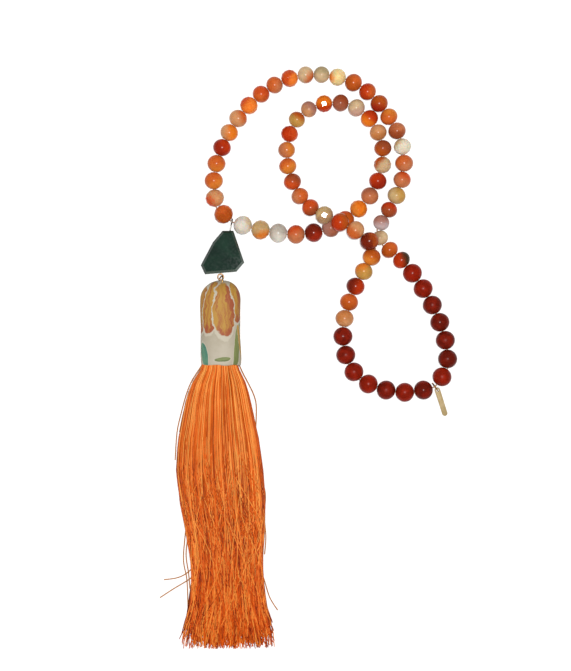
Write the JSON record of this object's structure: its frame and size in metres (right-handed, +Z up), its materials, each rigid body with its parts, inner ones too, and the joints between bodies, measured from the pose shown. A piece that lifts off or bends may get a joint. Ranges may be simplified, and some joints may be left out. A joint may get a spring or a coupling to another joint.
{
  "type": "tassel necklace",
  "caption": "Long closed string of round stone beads, lying in loops, with a cut green stone pendant, a dome-ended printed sleeve, a long silk tassel and a small bar charm.",
  "frame": {"origin": "on the surface that the necklace lies on, under the middle of the whole piece as it lies", "axes": "+Z up from the surface, -Y along the tassel towards its loose ends, +X to the right seen from above"},
  "size_m": [0.1306, 0.2701, 0.0162],
  "materials": {
    "agate": "faceted and polished, orange to red, honey, rose, cream and white",
    "carnelian": "smooth and polished, dark red, slightly translucent",
    "green_stone": "dark green, cut with a flat table and polished bevels",
    "thread": "twisted beading thread",
    "dark_wire": "oxidised wire",
    "gilt_wire": "gilt, polished",
    "gilt_bar": "champagne gold, polished",
    "printed_leather": "thin leather with a petal and leaf print, slightly glossy",
    "silk": "fine orange silk strands with a soft sheen"
  },
  "bodies": {
    "root": {"agate_beads": "agate", "carnelian_beads": "carnelian", "thread": "thread", "green_stone": "green_stone", "stone_pin": "dark_wire", "link_ring": "gilt_wire", "tassel_cap": "printed_leather", "tassel": "silk", "charm_ring": "gilt_wire", "bar_charm": "gilt_bar"}
  },
  "joints": []
}
